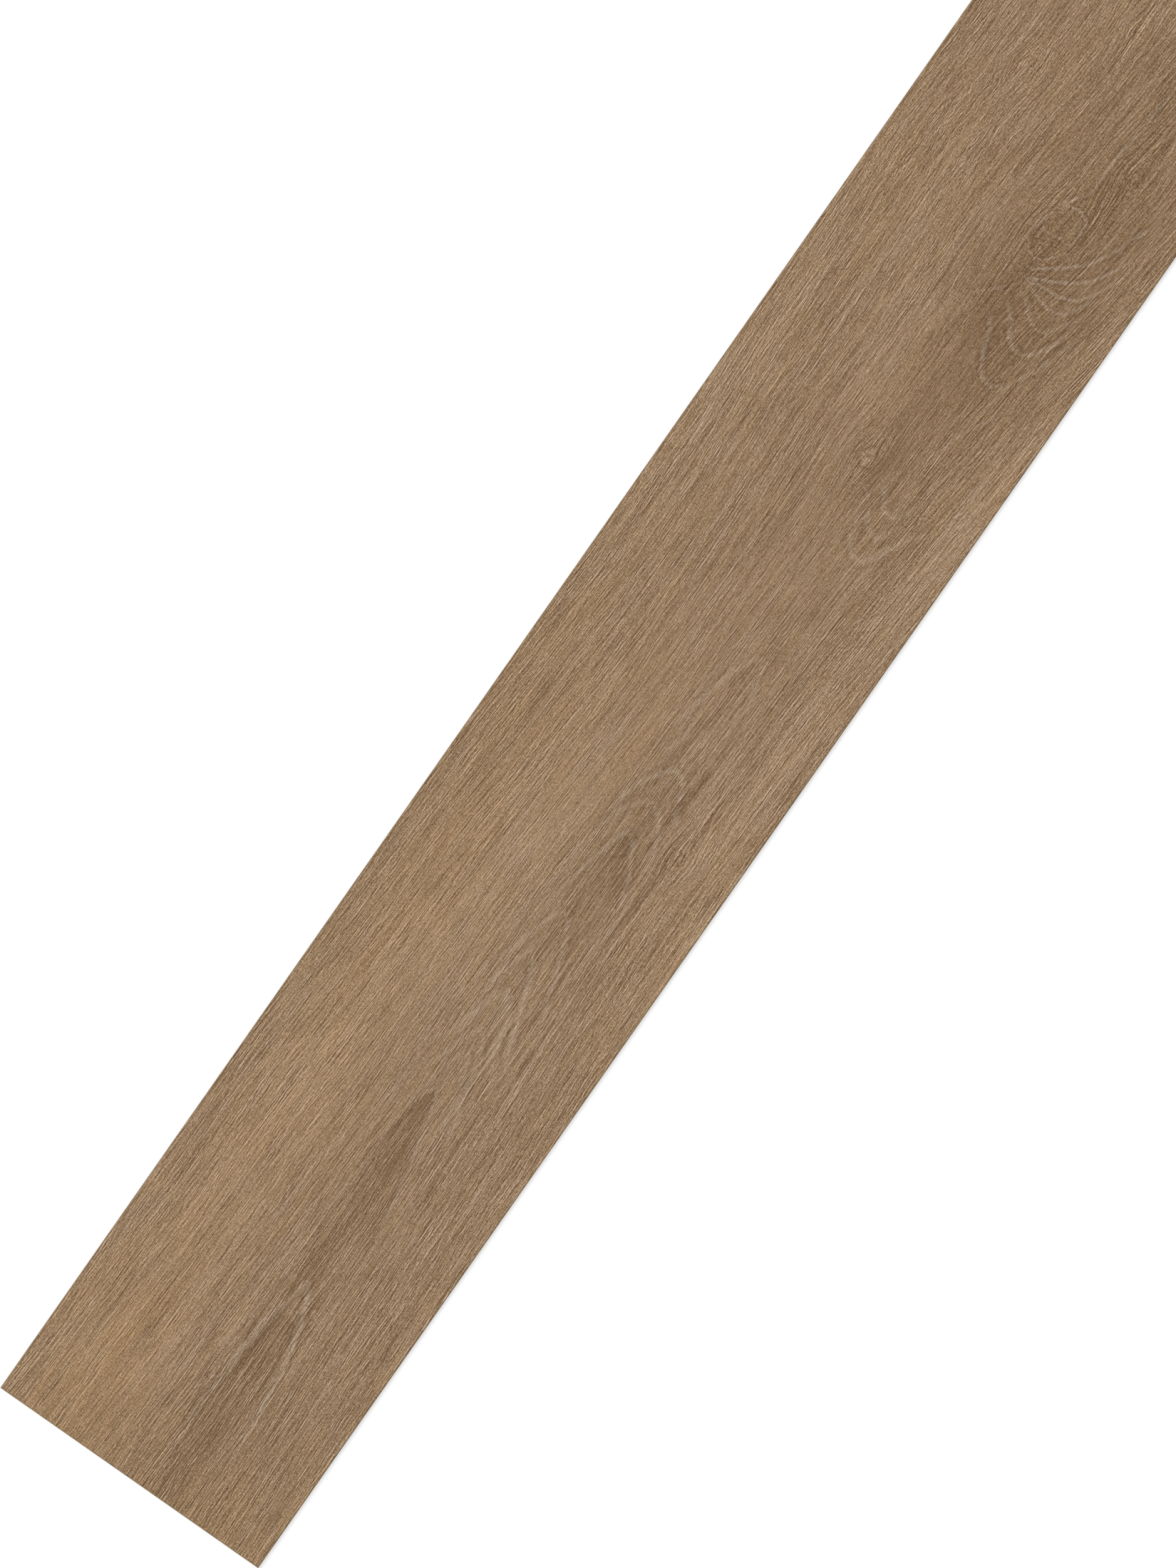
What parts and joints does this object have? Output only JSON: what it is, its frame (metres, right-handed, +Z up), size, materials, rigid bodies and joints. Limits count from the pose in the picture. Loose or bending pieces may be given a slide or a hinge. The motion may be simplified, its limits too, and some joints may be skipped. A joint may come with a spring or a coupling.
{
  "type": "vinyl floor plank",
  "caption": "Flat glue-down vinyl floor plank with an embossed oak-grain face, a fine micro bevel round the face and plain square-cut edges.",
  "frame": {"origin": "middle of the back face, on the floor that the plank lies on", "axes": "+X along the plank, +Y across it, +Z up out of the wear face"},
  "size_m": [1.2192, 0.1778, 0.0025],
  "materials": {
    "printed_vinyl": "matte"
  },
  "bodies": {
    "root": {"plank": "printed_vinyl"}
  },
  "joints": []
}
